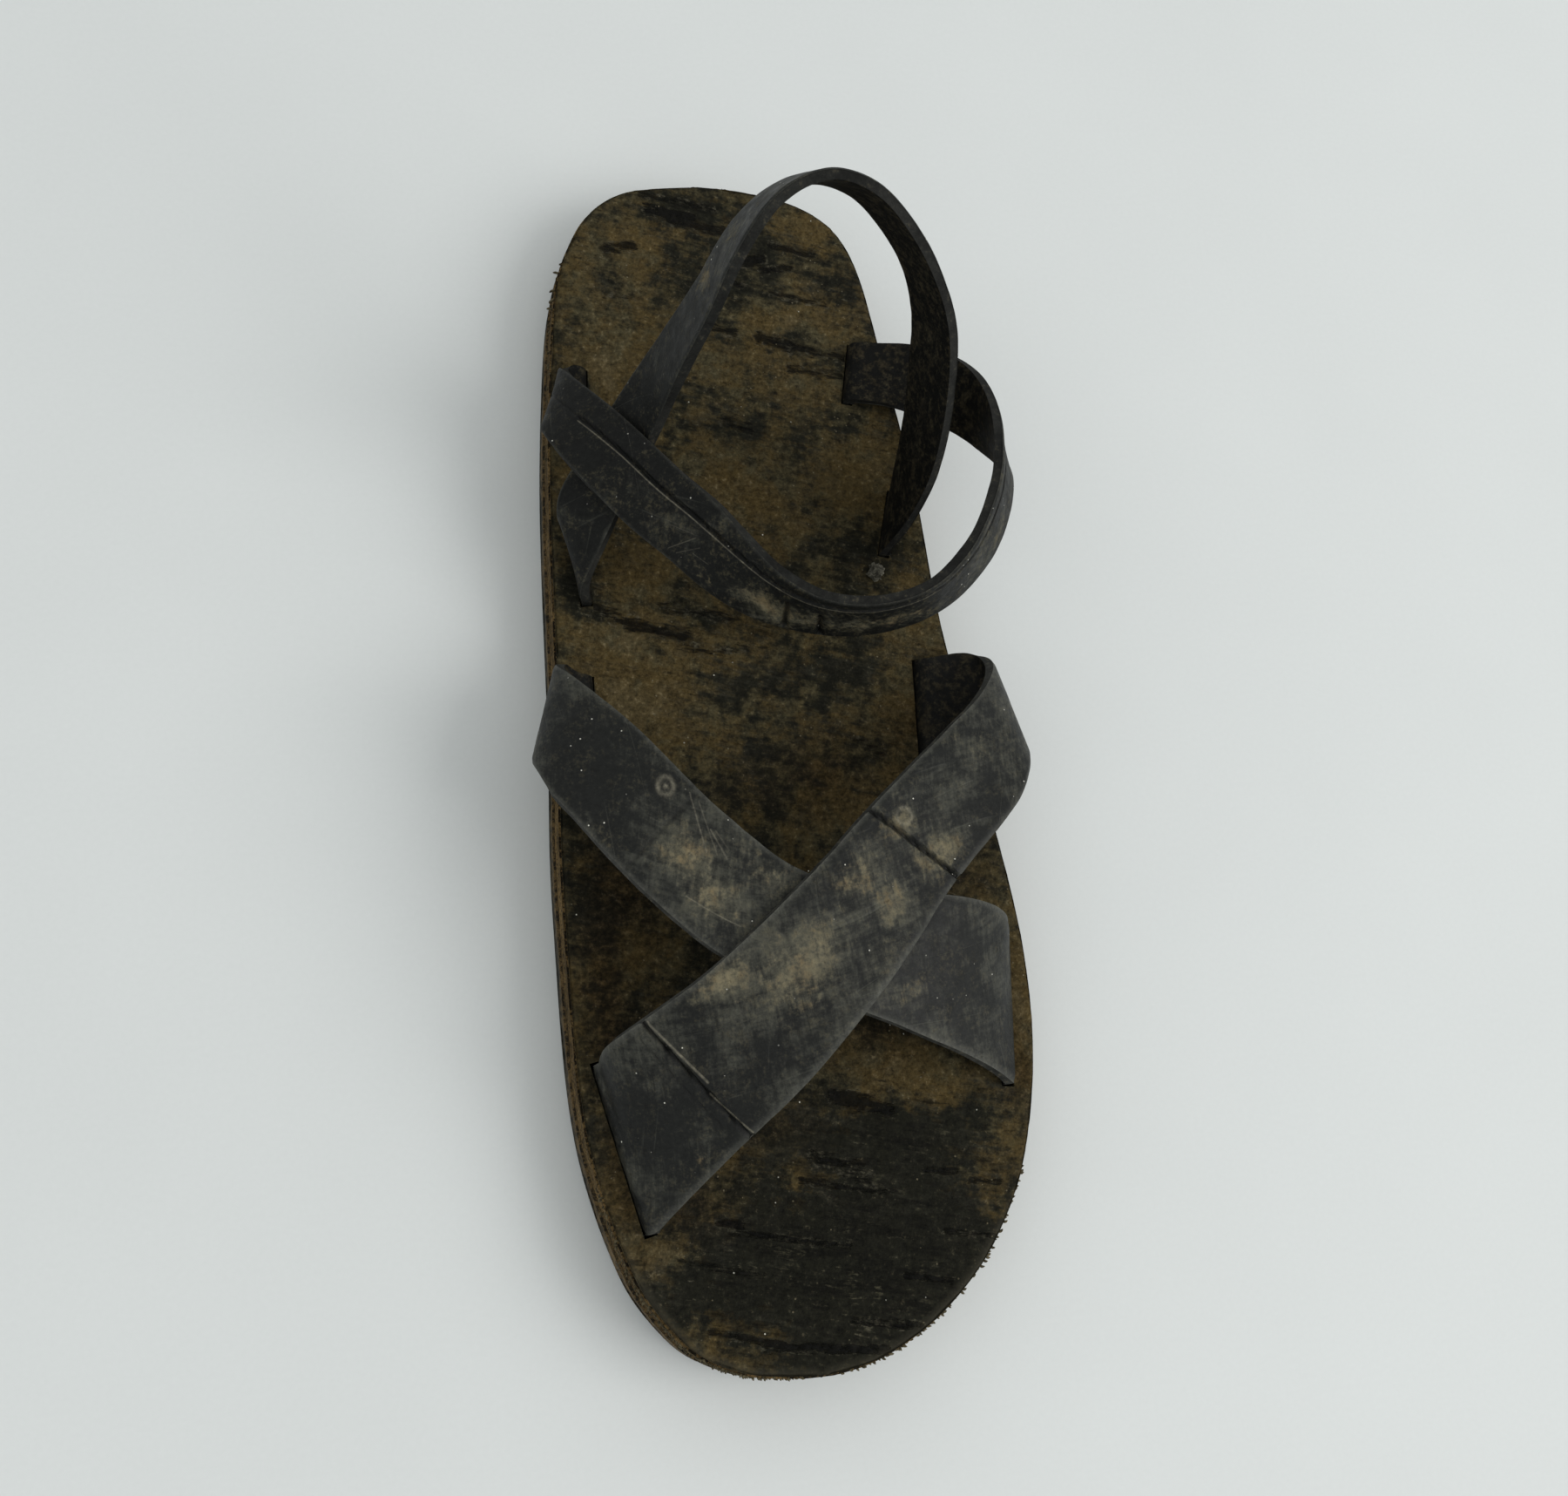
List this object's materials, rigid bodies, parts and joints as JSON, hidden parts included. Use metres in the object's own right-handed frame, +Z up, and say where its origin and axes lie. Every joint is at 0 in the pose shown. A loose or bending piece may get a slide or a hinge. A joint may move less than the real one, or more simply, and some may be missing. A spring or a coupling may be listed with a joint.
{
  "type": "tire sandal",
  "caption": "Sandal cut from an old tire, with a thick flat rubber sole, crossed flat rubber bands over the toes and a band that loops round instep and heel.",
  "frame": {"origin": "on the ground at the middle of the sole's length, on the underside of the middle rib of the tread", "axes": "+Y from toe to heel, +Z up, +X to the outer side of the foot, which is a left foot"},
  "size_m": [0.1145, 0.277, 0.1077],
  "materials": {
    "sole_rubber": "worn, dusty",
    "band_rubber": "matt, dusty"
  },
  "bodies": {
    "root": {"sole": "sole_rubber", "front_straps": "band_rubber", "rear_straps": "band_rubber"}
  },
  "joints": []
}
